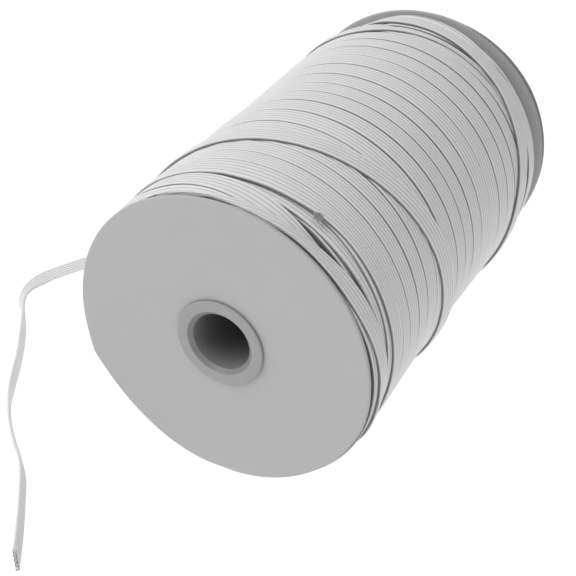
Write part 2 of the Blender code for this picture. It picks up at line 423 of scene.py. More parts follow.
def frayed_thread(number):
    """One thread loose at the cut, at its own place across the tape, curling as it goes."""
    centre, across, through_tape, along, _ = loose_frames[-1]
    share = FRAYED_SPREAD * (number / (FRAYED_THREADS - 1) - 0.5)
    reach = FRAYED_REACH * (0.55 + 0.45 * math.sin(2.1 * number + 0.6) ** 2)
    start = np.array(centre) + share * TAPE_WIDTH * np.array(across) - np.array(along) * (
        (share + 0.5) * CUT_SLANT + FRAYED_OVERLAP)
    points = []
    for step in np.linspace(0.0, 1.0, 9):
        curl = reach * step ** 2 * np.array((math.sin(1.9 * number), math.cos(2.7 * number)))
        points.append(start + (FRAYED_OVERLAP + reach) * step * np.array(along)
                      + 0.5 * curl[0] * np.array(across) + 0.35 * curl[1] * np.array(through_tape))
    points = np.array(points)
    points[:, 2] = np.maximum(points[:, 2], FRAYED_RADIUS)
    return strand(f"frayed_thread_{number}", points, FRAYED_RADIUS, thread_white)


loose_end = loose_end_piece()
frayed_end = join_pieces("frayed_threads", [frayed_thread(number) for number in range(FRAYED_THREADS)])
show(loose_end, "elastic", "loose_end")
show(frayed_end, "elastic")


# ----------------------------------------
# The hub. Two like halves, moulded in white plastic, push together inside the roll, a little off
# the middle of the discs. Each has a thin round collar that holds its disc, and a countersunk
# mouth to the bore, which runs through.

SPOOL_LENGTH = 0.1248
AXIS_HEIGHT = 0.0398
HUB_SIDES = 160
BORE_RADIUS = 0.00783
MOUTH_RADIUS = 0.00887
MOUTH_DEPTH = 0.0011
BARREL_RADIUS = 0.0096
COLLAR_RADIUS = 0.0119
COLLAR_FACE = -0.0009
COLLAR_UNDERSIDE = -0.0003
COLLAR_EDGE_DEPTH = 0.00032
COLLAR_EDGE_WIDTH = 0.0004
COLLAR_CROWN = 0.00002
CROWN_INSET = 0.0012
CROWN_OUTSET = 0.0010
MOUTH_EDGE = 0.00022
MOUTH_FOOT = 0.00007
HALF_LENGTH = 0.06225
TAPER_START = 0.006
TAPER_MIDDLE = 0.02
TAPER = 0.0001
HUB_ASIDE = 0.0004
HUB_RAISED = 0.0007
SHARP_ANGLE = math.radians(35.0)
PLASTIC_GREYS = (0.35, 0.38)
PLASTIC_GRAIN = 0.00004
# Painted shade: the bore's inside is coloured this darker grey, and the mouth is darkened by MOUTH_SHADE.
BORE_SHADE_GREY = 0.29
BORE_MARGIN = 0.00003
MOUTH_SHADE = 0.25


def about_axis(angle, distance, radius):
    """Points at angles from the top, distances along the roll and radii from its axis."""
    height = AXIS_HEIGHT + radius * np.cos(angle)
    return together(radius * np.sin(angle), distance - SPOOL_LENGTH / 2, height)


def closed_ring(name, points, material, tape_places=None):
    """A piece from (rings, sides, 3) points, closed both ways, with its faces turned outwards."""
    corner = np.arange(points.shape[0] * points.shape[1]).reshape(points.shape[:2])
    ring, beside = np.roll(corner, -1, axis=0), np.roll(corner, -1, axis=1)
    faces = np.stack([corner, beside, np.roll(ring, -1, axis=1), ring], axis=-1).reshape(-1, 4)
    piece = new_piece(name, points, faces.tolist(), material, tape_places)
    shape = bmesh.new()
    shape.from_mesh(piece.data)
    bmesh.ops.recalc_face_normals(shape, faces=shape.faces)
    shape.to_mesh(piece.data)
    shape.free()
    return piece


def turned(name, section, sides, material, warp=None, moved=(0.0, 0.0, 0.0)):
    """A ring turned about the roll's axis, then moved, from a closed section of depths and radii.

    warp gives how far each point moves along the roll and outwards, from its angle, depth and radius.
    """
    depth, radius = (np.array(column)[:, None] for column in zip(*section))
    angle = np.linspace(-math.pi, math.pi, sides, endpoint=False)[None, :]
    if warp:
        moved_along, moved_out = warp(angle, depth, radius)
        depth = depth + moved_along
        radius = radius + moved_out
    points = about_axis(angle, depth, radius)
    points[..., 2] = np.maximum(points[..., 2], 0.0)
    piece = closed_ring(name, points + moved, material)
    piece.data.set_sharp_from_angle(angle=SHARP_ANGLE)
    return piece


def off_axis(tree, place, aside, axis_height):
    """How far a place is from a line along the roll, in metres."""
    split = tree.nodes.new("ShaderNodeSeparateXYZ")
    tree.links.new(place, split.inputs[0])
    sides = [minus(tree, split.outputs[0], aside), minus(tree, split.outputs[2], axis_height)]
    return calculate(tree, "SQRT", plus(tree, *[times(tree, side, side) for side in sides]))


def moulded_plastic():
    """Satin white plastic: a faint flow pattern, a fine grain, painted shade in its mouth and darker
    painted shade in its bore.
    """
    material, tree, shader = new_material("moulded_plastic", Specular_IOR_Level=0.35)
    place = tree.nodes.new("ShaderNodeTexCoord").outputs["Object"]
    flow = noise(tree, place, 260.0, 2.0, 0.5)
    fine = noise(tree, place, 2600.0, 3.0, 0.6)
    colour = tree.nodes.new("ShaderNodeValToRGB")
    for element, position, grey in zip(colour.color_ramp.elements, (0.3, 0.7), PLASTIC_GREYS):
        element.position = position
        element.color = (grey, grey, grey, 1.0)
    tree.links.new(flow, colour.inputs["Fac"])
    radius = off_axis(tree, place, HUB_ASIDE, AXIS_HEIGHT + HUB_RAISED)
    # Painted shade: the colour turns darker grey inside the bore, and the mouth is darkened.
    in_bore = calculate(tree, "LESS_THAN", radius, BORE_RADIUS + BORE_MARGIN)
    in_mouth = calculate(tree, "LESS_THAN", radius, MOUTH_RADIUS)
    bore_shaded = place_node(tree, "ShaderNodeMix", data_type="RGBA")
    bore_shaded.inputs[7].default_value = (BORE_SHADE_GREY, BORE_SHADE_GREY, BORE_SHADE_GREY, 1.0)
    tree.links.new(in_bore, bore_shaded.inputs[0])
    tree.links.new(colour.outputs["Color"], bore_shaded.inputs[6])
    shade_colour(tree, shader, bore_shaded.outputs[2], minus(tree, 1.0, times(tree, in_mouth, MOUTH_SHADE)))
    tree.links.new(plus(tree, times(tree, fine, 0.2), 0.32), shader.inputs["Roughness"])
    raise_surface(tree, shader, fine, 0.25, PLASTIC_GRAIN)
    return material


def hub_section():
    """The half hub's closed section, as depths from its disc's outer face and radii."""
    face = COLLAR_FACE
    section = [(COLLAR_UNDERSIDE, BARREL_RADIUS), (COLLAR_UNDERSIDE, COLLAR_RADIUS - TAPER)]
    for step in range(7):
        turn = math.radians(15.0 * step)
        section.append((face + COLLAR_EDGE_DEPTH * (1.0 - math.sin(turn)),
                        COLLAR_RADIUS - COLLAR_EDGE_WIDTH * (1.0 - math.cos(turn))))
    section += [(face - COLLAR_CROWN, COLLAR_RADIUS - CROWN_INSET),
                (face - COLLAR_CROWN, MOUTH_RADIUS + CROWN_OUTSET)]
    for step in range(6):
        turn = math.radians(15.0 * step)
        section.append((face + MOUTH_EDGE * (1.0 - math.cos(turn)),
                        MOUTH_RADIUS + MOUTH_EDGE * (1.0 - math.sin(turn))))
    section += [(face + MOUTH_DEPTH - TAPER, BORE_RADIUS + MOUTH_FOOT), (face + MOUTH_DEPTH, BORE_RADIUS)]
    section += [(TAPER_START, BORE_RADIUS), (TAPER_MIDDLE, BORE_RADIUS - 0.5 * TAPER)]
    section += [(HALF_LENGTH, BORE_RADIUS - TAPER), (HALF_LENGTH, BARREL_RADIUS - TAPER)]
    section += [(TAPER_MIDDLE, BARREL_RADIUS)]
    return section


plastic = moulded_plastic()
for name, node, outer_face, inward in (
        ("hub_half_front", "front_hub", 0.0, 1.0), ("hub_half_back", "back_hub", SPOOL_LENGTH, -1.0)):
    placed = [(outer_face + inward * depth, radius) for depth, radius in hub_section()]
    hub_half = turned(name, placed, HUB_SIDES, plastic, moved=(HUB_ASIDE, 0.0, HUB_RAISED))
    show(hub_half, "hub_plastic", node)


# ----------------------------------------
# The discs. Each is a circle die-cut from white-lined greyboard about a millimetre thick, with a
# hole for the hub. The front one was knocked: a corner of its rim is pushed out and flattened.

DISC_RADIUS = 0.0400
DISC_THICKNESS = 0.0010
DISC_HOLE = 0.0099
DISC_SIDES = 420
DISC_WARP = 0.00010
DISC_RINGS = (DISC_HOLE, 0.0125, 0.0160, 0.0200, 0.0240, 0.0280, 0.0320, 0.0350, 0.0375, 0.0388, 0.0395)
FRONT_LINING = 0.50
BACK_LINING = 0.48
MOTTLE_SHADE = 0.05
FIBRE_SHADE = 0.07
FIBRE_RELIEF = 0.00004
SPECK_SHADE = 0.12
SPECK_SIZE = 0.035
# Painted shade: RIM_SHADE darkens the back disc's rim in its colour.
RIM_SHADE = 0.50
RIM_SHADE_START = 0.0397

# The rim's soft, layered edges: depth from the outer face, and how far inside the disc's radius.
RIM_EDGE = (
    (0.00003, 0.00022), (0.00011, 0.00008), (0.00024, 0.00001), (0.0004, 0.0),
    (0.0006, 0.0), (0.00076, 0.00002), (0.00089, 0.0001), (0.00097, 0.00024),
)

# Angle round the roll from the top, and the rim's radius as a share of DISC_RADIUS.
FRONT_RIM = (
    (-180.0, 1.004), (-168.0, 1.004), (-156.0, 0.999), (-146.0, 0.991), (-136.0, 0.990),
    (-128.0, 0.994), (-120.0, 1.005), (-114.5, 1.020), (-112.0, 1.027), (-109.5, 1.021),
    (-105.0, 1.013), (-98.0, 1.006), (-80.0, 1.000), (80.0, 1.000), (108.0, 1.006), (120.0, 1.000),
    (140.0, 0.997), (156.0, 1.002), (168.0, 1.004), (180.0, 1.004),
)
BACK_RIM = (
    (-180.0, 0.998), (-90.0, 1.000), (0.0, 0.988), (16.0, 0.991), (28.0, 1.000), (40.0, 1.005),
    (56.0, 1.008), (72.0, 1.002), (88.0, 0.997), (104.0, 0.991), (120.0, 0.991), (150.0, 1.000),
    (180.0, 0.998),
)


def disc_section():
    """The disc's closed section, as depths from its outer face and radii."""
    section = [(0.0, radius) for radius in DISC_RINGS]
    section += [(depth, DISC_RADIUS - inside) for depth, inside in RIM_EDGE]
    section += [(DISC_THICKNESS, radius) for radius in DISC_RINGS[::-1]]
    return section


def card_material(name, lining, rim_shade):
    """Paper-lined greyboard: soft mottling, fine fibres, a few specks, and its rim darkened by rim_shade as
    painted shade.
    """
    material, tree, shader = new_material(name, Specular_IOR_Level=0.25)
    place = tree.nodes.new("ShaderNodeTexCoord").outputs["Object"]
    mottle = noise(tree, place, 120.0, 4.0, 0.55)
    fibre = noise(tree, place, 1900.0, 3.0, 0.7)
    speck = place_node(tree, "ShaderNodeTexVoronoi", Scale=190.0)
    tree.links.new(place, speck.inputs["Vector"])
    soft = times(tree, minus(tree, mottle, 0.5), MOTTLE_SHADE)
    hair = times(tree, minus(tree, fibre, 0.5), FIBRE_SHADE)
    dots = times(tree, calculate(tree, "LESS_THAN", speck.outputs["Distance"], SPECK_SIZE), SPECK_SHADE)
    # Painted shade: the rim is darkened in the colour.
    rim = calculate(tree, "GREATER_THAN", off_axis(tree, place, 0.0, AXIS_HEIGHT), RIM_SHADE_START)
    dark = plus(tree, dots, times(tree, rim, rim_shade))
    shade_colour(tree, shader, lining, minus(tree, plus(tree, plus(tree, soft, hair), 1.0), dark))
    tree.links.new(plus(tree, times(tree, mottle, 0.2), 0.62), shader.inputs["Roughness"])
    raise_surface(tree, shader, fibre, 0.3, FIBRE_RELIEF)
    return material


def disc_piece(name, outer_face, inward, rim_rows, material):
    """One disc with its own rim outline and a slight warp."""
    rim_angle, rim_share = np.array(rim_rows).T

    def warp(angle, depth, radius):
        reach = np.clip((radius - DISC_HOLE) / (DISC_RADIUS - DISC_HOLE), 0.0, 1.0)
        outline = DISC_RADIUS * (np.interp(np.degrees(angle), rim_angle, rim_share) - 1.0)
        ripple = np.sin(2.0 * angle + 0.7) + 0.5 * np.sin(3.0 * angle + 2.0)
        return -inward * DISC_WARP * (1.0 + ripple) * reach ** 2, outline * reach ** 3

    placed = [(outer_face + inward * depth, radius) for depth, radius in disc_section()]
    return turned(name, placed, DISC_SIDES, material, warp)


front_card = card_material("white_lined_board", FRONT_LINING, 0.0)
back_card = card_material("grey_lined_board", BACK_LINING, RIM_SHADE)
show(disc_piece("card_disc_front", 0.0, 1.0, FRONT_RIM, front_card), "card", "front_disc")
show(disc_piece("card_disc_back", SPOOL_LENGTH, -1.0, BACK_RIM, back_card), "card", "back_disc")


# ----------------------------------------
# The winding. One tape, about 95 m of it, is wound on in turns side by side, layer over layer,
# and it wanders: turns ride up on others, cross over them, and slope down at the back end.
# Each tape is laid on what lies below it, over a map of heights that rises as it is laid.

MM = 0.001
WOUND_START = 0.0013
WOUND_END = 0.1235
WOUND_BORE = 0.0099
FORM_SAMPLES = 2445
FORM_SMOOTHING = 21
# The layers below the last turns are the same tape, coloured dark grey with darkened grooves as painted
# shade for the gaps between the top tapes.
SHADED_LAYERS_GREY = 0.34
LAYERS_GROOVE_SHADE = 0.20

# Distance along the roll, and the radius of the whole winding as a share of DISC_RADIUS.
WOUND_FORM = (
    (0.0013, 0.985), (0.0035, 1.012), (0.0080, 1.018), (0.0160, 1.016), (0.0280, 1.007),
    (0.0400, 0.997), (0.0500, 1.010), (0.0640, 1.000), (0.0800, 1.007), (0.0960, 1.013),
    (0.1100, 1.005), (0.1140, 1.001), (0.1168, 0.990), (0.1190, 0.940), (0.1210, 0.860),
    (0.1235, 0.740),
)

# Distance along the roll in millimetres, and how deep the wound layers below the last turns lie.
FILLED_DEPTH = (
    (1.3, 1.4), (3.0, 2.0), (10.0, 2.6), (13.0, 3.0), (16.0, 3.0), (17.5, 1.9), (19.5, 0.95),
    (123.5, 0.95),
)

# Where those layers are uneven: height in millimetres, then the angles and the distances between
# which it comes in and goes out. A valley beside the front turns, a hollow and a swelling at the back.
UNEVEN_PLACES = (
    (-4.6, (-15.0, 5.0, 60.0, 80.0), (3.5, 6.5, 8.8, 10.6)),
    (-2.4, (-120.0, -90.0, -25.0, 2.0), (106.0, 113.0, 123.0, 124.0)),
    (1.0, (-15.0, 5.0, 32.0, 55.0), (115.0, 118.5, 123.0, 124.0)),
)
ANGLE_STEP = 1.0
PLACE_STEP = 0.00025
TUCK = 0.0040
THINNER_EDGE = 0.20
THINNER_REACH = 0.08
LAY_STEP = 2.0
SOFT_FLOOR = 0.0003
RUN_ON_START = -0.0040
FRONT_GAP = 0.00045
BACK_OVERRUN = 0.00015

form_rows = np.array(WOUND_FORM)
form_distance = np.linspace(WOUND_START, WOUND_END, FORM_SAMPLES)
form_radius = np.interp(form_distance, form_rows[:, 0], form_rows[:, 1]) * DISC_RADIUS
for _ in range(3):
    padded = np.pad(form_radius, FORM_SMOOTHING // 2, mode="edge")
    form_radius = np.convolve(padded, np.ones(FORM_SMOOTHING) / FORM_SMOOTHING, mode="valid")
form_place = np.concatenate([[0.0], np.cumsum(np.hypot(np.diff(form_distance), np.diff(form_radius)))])
form_slope = np.gradient(form_radius, form_place)
FORM_LENGTH = form_place[-1]


def place_at(distance_mm):
    """The place over the winding's profile, from its front edge, at a distance along the roll."""
    distance = np.asarray(distance_mm) * MM
    beyond = np.minimum(distance - WOUND_START, 0.0) + np.maximum(distance - WOUND_END, 0.0)
    return np.interp(distance, form_distance, form_place) + beyond


def on_winding(angle, place, height):
    """Points at unrolled places on the winding; past its ends the surface turns down beside the disc."""
    distance = np.interp(place, form_place, form_distance)
    tucked = np.maximum(-place, 0.0) + np.maximum(place - FORM_LENGTH, 0.0)
    slope = np.interp(place, form_place, form_slope)
    lean = np.sqrt(1.0 - np.clip(slope, -0.95, 0.95) ** 2)
    radius = np.interp(place, form_place, form_radius) - tucked + height * lean
    distance = np.clip(distance - height * slope, WOUND_START + FRONT_GAP, WOUND_END + BACK_OVERRUN)
    points = about_axis(angle, distance, radius)
    above = points[..., 2]
    points[..., 2] = 0.5 * (above + np.sqrt(above ** 2 + SOFT_FLOOR ** 2))
    return points


map_places = np.arange(-TUCK, FORM_LENGTH + TUCK, PLACE_STEP)
map_distances = np.interp(map_places, form_place, form_distance) / MM
map_angles = (np.arange(round(360.0 / ANGLE_STEP)) * ANGLE_STEP + 180.0) % 360.0 - 180.0
filled_distance, filled_depth = np.array(FILLED_DEPTH).T
filled_profile = -np.interp(map_distances, filled_distance, filled_depth) * MM
height_map = np.repeat(filled_profile[None, :], len(map_angles), axis=0)
for uneven, angles, distances in UNEVEN_PLACES:
    round_roll = np.interp(map_angles, angles, (0.0, 1.0, 1.0, 0.0))
    along_roll = np.interp(map_distances, distances, (0.0, 1.0, 1.0, 0.0))
    height_map += uneven * MM * round_roll[:, None] * along_roll[None, :]
filled_map = height_map.copy()


def read_heights(angle, place):
    """The height map read between its points, at angles in degrees and places in metres."""
    row = np.mod(angle / ANGLE_STEP, height_map.shape[0])
    column = np.clip((place + TUCK) / PLACE_STEP, 0.0, height_map.shape[1] - 1.001)
    row_low, column_low = row.astype(int) % height_map.shape[0], column.astype(int)
    row_high = (row_low + 1) % height_map.shape[0]
    row_share, column_share = row - np.floor(row), column - column_low

    def along_row(row):
        here, beside = height_map[row, column_low], height_map[row, column_low + 1]
        return here * (1 - column_share) + beside * column_share

    return along_row(row_low) * (1 - row_share) + along_row(row_high) * row_share


def shifted(values, step, axis):
    """The values moved by a number of rows or columns, with the last one repeated."""
    count = values.shape[axis]
    return np.take(values, np.clip(np.arange(count) + step, 0, count - 1), axis=axis)


def blurred(values, axis, passes):
    """The values averaged with their neighbours along an axis, over and over."""
    for _ in range(passes):
        values = 0.25 * shifted(values, -1, axis) + 0.5 * values + 0.25 * shifted(values, 1, axis)
    return values


def settled(ground):
    """How a tape under tension lies on uneven ground: it bridges the hollows and rounds the edges."""
    for axis, reach in ((1, 3), (0, 2)):
        ground = np.maximum.reduce([shifted(ground, step, axis) for step in range(-reach, reach + 1)])
    return blurred(blurred(ground, 1, 4), 0, 6)


UNROLLED_RADIUS = DISC_RADIUS
section_share, section_height = tape_section()
ground_share = np.linspace(-0.48, 0.48, 29)


def lay_tape(name, angle, place, width, limits=(1.0, 1.0), held=False, tape_start=0.0):
    """A length of wound tape, laid on the height map along its path, which it then raises.

    angle in degrees, place and width in metres; limits are the highest that its underside may lie at
    its front edge and its back edge. A held tape lies at those heights, measured from the discs' rims.
    """
    turn = np.radians(angle)
    run, rise = np.gradient(turn * UNROLLED_RADIUS), np.gradient(place)
    step = np.hypot(run, rise)
    run, rise = (run / step)[:, None], (rise / step)[:, None]
    front_limit, back_limit = (np.broadcast_to(side, angle.shape)[:, None] for side in limits)
    limit = front_limit + (ground_share[None, :] + 0.5) * (back_limit - front_limit)

    def spread(share):
        across = share[None, :] * width[:, None]
        return turn[:, None] - across * rise / UNROLLED_RADIUS, place[:, None] + across * run

    ground_turn, ground_place = spread(ground_share)
    ground = settled(read_heights(np.degrees(ground_turn), ground_place))
    rims = np.interp(ground_place, form_place, form_radius) - DISC_RADIUS
    ground = limit - rims if held else np.minimum(ground, limit)
    blend = np.array([np.interp(section_share, ground_share, row) for row in ground])
    point_turn, point_place = spread(section_share)
    points = on_winding(point_turn, point_place, blend + section_height[None, :])
    along = np.cumsum(step) + tape_start
    tape_places = together(along[:, None], section_share[None, :] * TAPE_WIDTH)

    fine_share = np.linspace(-0.5, 0.5, 70)
    inwards = np.minimum((0.5 - np.abs(fine_share)) / THINNER_REACH, 1.0)
    top = np.array([np.interp(fine_share, ground_share, row) for row in ground])
    top += TAPE_THICKNESS * (1.0 - THINNER_EDGE * (1.0 - inwards))
    fine_turn, fine_place = spread(fine_share)
    for share in (0.0, 0.25, 0.5, 0.75):
        row_turn, row_place, row_top = (
            (1 - share) * values[:-1] + share * values[1:] for values in (fine_turn, fine_place, top))
        map_row = np.mod(np.round(np.degrees(row_turn) / ANGLE_STEP).astype(int), height_map.shape[0])
        map_column = np.round((row_place + TUCK) / PLACE_STEP).astype(int)
        map_column = np.clip(map_column, 0, height_map.shape[1] - 1)
        np.maximum.at(height_map, (map_row, map_column), row_top)
    return skin_sections(name, points, tape_places, tape_white)


def path_angles(start, end):
    """Angles from start to end, a laying step apart."""
    return np.linspace(start, end, max(3, round(abs(end - start) / LAY_STEP) + 1))


def softened(rows, angle, reach=9.0):
    """The later columns of a table read at the angles, with the bends at its rows rounded off."""
    table = np.array(rows)
    columns = []
    for column in range(1, table.shape[1]):
        readings = [np.interp(angle + shift, table[:, 0], table[:, column])
                    for shift in np.linspace(-reach, reach, 9)]
        columns.append(np.mean(readings, axis=0))
    return columns


# Painted shade: the layers that show between the tapes are coloured dark grey.
shaded_layers_grey = tape_finish("shaded_layers", SHADED_LAYERS_GREY, LAYERS_GROOVE_SHADE, 0.0, PATCHINESS)


def filled_piece():
    """The layers below the last turns, from the hub out: the ground that shows between the tapes, painted
    dark grey as shade.
    """
    angle = np.radians(np.arange(-180.0, 180.0, 3.0))
    place = np.arange(0.0, FORM_LENGTH + PLACE_STEP, 2.0 * PLACE_STEP)
    column = np.round((place + TUCK) / PLACE_STEP).astype(int)
    row = np.mod(np.round(np.degrees(angle) / ANGLE_STEP).astype(int), filled_map.shape[0])
    points = on_winding(angle[None, :], place[:, None], filled_map[row[None, :], column[:, None]])
    ends = [about_axis(angle, distance, WOUND_BORE) for distance in (WOUND_END, WOUND_START)]
    points = np.concatenate([points, np.array(ends)])
    across = np.concatenate([place, [place[-1] + 0.01, -0.01]])[:, None]
    tape_places = together(angle[None, :] * UNROLLED_RADIUS, across)
    return closed_ring("wound_layers", points, shaded_layers_grey, tape_places)


# Turns side by side: distance in millimetres of the seam before each turn, at 30 degrees from the
# top, and how wide the seam gapes at each of GAPE_ANGLES. Each turn works one seam towards the
# front as it goes round. TO_BOTTOM is the share of a turn from the seam angle to the roll's bottom.
SEAM_ANGLE = 30.0
GAPE_ANGLES = (-20.0, 20.0, 60.0)
WANDER = 0.00006
TO_BOTTOM = 0.5833
SHOULDER_SPACING = 1.02
SEAMS = (
    (7.0, 0.20, 0.20, 0.20), (13.1, 0.20, 0.20, 0.20), (18.5, 0.00, 0.00, 0.00),
    (23.8, 0.30, 0.38, 0.25), (29.8, 0.00, 0.15, 0.38), (35.8, 0.20, 0.38, 0.45),
    (42.0, 0.38, 0.25, 0.05), (48.4, 0.20, 0.45, 0.45), (55.0, 0.35, 0.42, 0.50),
    (61.2, 0.15, 0.42, 0.48), (67.0, 0.28, 0.48, 0.48), (73.0, 0.45, 0.30, 0.25),
    (79.8, 0.45, 0.30, 0.10), (86.2, 0.10, 0.45, 0.45), (92.6, 0.50, 0.45, 0.25),
    (98.4, 0.55, 0.65, 0.70), (103.9, 0.35, 0.10, 0.95), (110.0, 1.00, 1.10, 0.80),
    (115.8, 0.20, 0.20, 0.20),
)


def lay_turns(name, first_seam, last_seam, nudges=((0.0, 0.0, 0.0),)):
    """Turns between two seam numbers, which count up to the back and may be part numbers.

    nudges is a table of angles and how far the front edge and the back edge stray there, in millimetres.
    """
    start, end = SEAM_ANGLE - 360.0 * last_seam, SEAM_ANGLE - 360.0 * first_seam
    angle = path_angles(start, end)
    seam = (SEAM_ANGLE - angle) / 360.0 + 1.0
    round_roll = (angle + 180.0) % 360.0 - 180.0
    distance, *gapes = (np.array(column) for column in zip(*SEAMS))
    number = np.arange(len(SEAMS))

    def gape(at_seam):
        readings = np.array([np.interp(at_seam, number, column) for column in gapes])
        share = np.interp(round_roll, GAPE_ANGLES, (0.0, 1.0, 2.0))
        first = np.minimum(share.astype(int), 1)
        turn = np.arange(len(angle))
        return readings[first, turn] + (share - first) * (readings[first + 1, turn] - readings[first, turn])

    shifts = np.linspace(-0.07, 0.07, 9)
    low, high = (np.mean([np.interp(seam + side + shift, number, distance) for shift in shifts], axis=0)
                 for side in (0.0, 1.0))
    front_nudge, back_nudge = softened(nudges, round_roll)
    low = low + 0.5 * gape(seam) + front_nudge
    high = high - 0.5 * gape(seam + 1.0) + back_nudge
    low, high = place_at(low), place_at(high)
    wander = WANDER * (np.sin(np.radians(angle) * 1.7) + np.sin(np.radians(angle) * 3.1 + 1.0))
    return lay_tape(name, angle, 0.5 * (low + high) + wander, high - low,
                    (-TAPE_THICKNESS, -TAPE_THICKNESS), tape_start=0.5 * first_seam)


def lay_band(name, rows, limits=((0.0, 9.0, 9.0),), tape_start=0.0):
    """A tape laid along a table of angles and distances in millimetres.

    limits is a table of angles and the highest that the tape's underside may lie there, at its
    front edge and its back edge, in millimetres from the winding's form: other tapes hold it down.
    """
    angle = path_angles(rows[0][0], rows[-1][0])
    distance = softened(rows, angle)[0]
    limits = [side * MM for side in softened(limits, angle, 4.0)]
    width = np.full_like(angle, TAPE_WIDTH)
    return lay_tape(name, angle, place_at(distance), width, limits, tape_start=tape_start)


def hold_band(name, rows, width_shares=((0.0, 1.0),), tape_start=0.0):
    """A leaning tape, held by tapes above and below: a table of angles, the distance of its middle,
    and the heights of its front and back edges' undersides above the discs' rims, in millimetres.

    width_shares is a table of angles and how much of its width is left there: pulled, it narrows.
    """
    angle = path_angles(rows[0][0], rows[-1][0])
    distance, front_height, back_height = softened(rows, angle, 5.0)
    flat = TAPE_WIDTH * softened(width_shares, angle)[0]
    width = np.sqrt(flat ** 2 - ((front_height - back_height) * MM) ** 2)
    heights = (front_height * MM, back_height * MM)
    return lay_tape(name, angle, place_at(distance), width, heights, held=True, tape_start=tape_start)


# Tapes below the last ones beside the front disc, deepest first: the highest that each may lie,
# then angles and the distance of its middle there.
near_tapes = [filled_piece()]
for number, level, rows in (
        (1, -3.0, ((-180.0, 13.9), (180.0, 13.9))),
        (2, -2.4, ((-180.0, 13.5), (5.0, 13.5), (20.0, 12.9), (64.0, 12.8), (180.0, 12.6))),
        (3, -1.75, ((-180.0, 15.9), (25.0, 15.9), (32.0, 16.4), (45.0, 15.8), (57.0, 15.2), (68.0, 14.9),
                    (80.0, 14.4), (100.0, 13.1), (140.0, 13.0), (180.0, 14.0)))):
    near_tapes.append(lay_band(f"under_turn_{number}", rows, ((0.0, level, level),), float(number)))

# The tapes that lean against the front disc, in the order they were wound.
near_tapes.append(hold_band("front_under_turn", (
    (-180.0, 3.6, -1.9, -0.9), (-60.0, 3.6, -2.2, -0.7), (-40.0, 3.5, -3.0, -0.60),
    (-30.0, 2.9, -3.0, -0.60), (-20.0, 2.8, -2.3, -0.60), (-10.0, 2.4, -1.9, -0.65),
    (0.0, 1.6, -1.9, -0.90), (10.0, 0.9, -2.2, -1.9), (20.0, 0.5, -2.8, -2.8),
    (60.0, 1.5, -2.8, -2.8), (180.0, 3.6, -1.9, -1.5),
), tape_start=4.0))
near_tapes.append(hold_band("crossing_under_turn", (
    (-5.0, 13.5, -3.6, -4.6), (15.0, 13.2, -3.0, -4.4), (25.0, 12.7, -2.4, -4.2),
    (30.0, 12.3, -2.2, -4.2), (40.0, 11.5, -2.2, -4.2), (50.0, 11.2, -2.4, -4.2),
    (60.0, 11.3, -3.4, -4.6), (75.0, 12.0, -4.5, -5.0),
), tape_start=4.5))
near_tapes.append(hold_band("front_crossing", (
    (-75.0, 13.5, -1.6, -1.8), (-55.0, 11.6, -0.9, -1.10), (-40.0, 10.3, -0.6, -0.85),
    (-30.0, 9.7, -0.6, -0.85), (-20.0, 9.3, -0.6, -0.80), (-10.0, 8.6, -0.6, -0.70),
    (0.0, 7.7, -0.8, -0.55), (10.0, 7.4, -2.3, -0.85), (17.0, 6.8, -2.8, -1.45),
    (24.0, 6.5, -3.1, -2.45), (32.0, 6.1, -3.4, -3.45), (38.6, 6.0, -3.6, -4.25),
    (50.0, 5.2, -3.0, -4.20), (60.0, 4.6, -1.7, -2.60), (70.0, 4.5, -0.9, -1.70),
    (77.0, 4.5, -0.55, -1.2), (90.0, 4.5, -0.25, -0.9), (180.0, 4.5, -0.25, -0.9),
), tape_start=5.0))
near_tapes.append(hold_band("front_turn", (
    (-180.0, -1.9, -1.3, -1.25), (-45.0, -1.9, -1.3, -1.25), (-33.0, -1.5, -1.3, -1.25),
    (-20.0, -0.8, -1.1, -0.80), (-10.0, -0.2, -1.0, -0.65), (0.0, 0.9, -1.15, -0.60),
    (10.0, 2.4, -1.20, -1.50), (20.0, 3.2, -1.10, -1.90), (32.0, 4.0, -0.80, -2.60),
    (40.0, 4.3, -0.80, -2.30), (48.0, 4.6, -0.90, -1.80), (54.0, 4.7, -1.10, -1.20),
    (58.6, 5.1, -1.10, -1.10), (62.8, 5.3, -0.70, -1.10), (70.0, 5.8, -0.10, -1.10),
    (77.0, 6.3, 0.15, -1.00), (84.0, 6.7, 0.35, -0.80), (91.0, 6.8, 0.45, -0.75),
    (110.0, 7.1, 0.50, -0.65), (130.0, 9.5, -0.30, -0.90), (150.0, 14.0, -1.5, -1.5),
), width_shares=((-15.0, 0.92), (5.0, 0.84), (25.0, 0.86), (38.0, 0.94), (60.0, 0.95), (72.0, 1.0)),
    tape_start=6.0))

# The turns side by side, and the two last of them at the front.
middle_tapes = [lay_turns("middle_turns", 1 + TO_BOTTOM, 10 + TO_BOTTOM)]
far_tapes = [lay_turns("far_turns", 10 + TO_BOTTOM, 15 + TO_BOTTOM)]
near_tapes.append(lay_turns("near_turn_1", TO_BOTTOM, 1 + TO_BOTTOM))
near_tapes.append(lay_turns("near_turn_2", TO_BOTTOM - 1, TO_BOTTOM, (
    (-110.0, 0.0, 0.0), (-60.0, -1.2, 0.0), (-40.0, -1.5, 0.0), (-30.0, -2.0, 0.0), (-10.0, -2.05, 0.0),
    (0.0, -2.0, 0.0), (10.0, -1.75, 0.0), (20.0, -1.35, 0.0), (29.0, -0.6, 0.0), (35.0, 0.4, 0.0),
    (95.0, 0.5, 0.0), (130.0, 0.0, 0.0))))

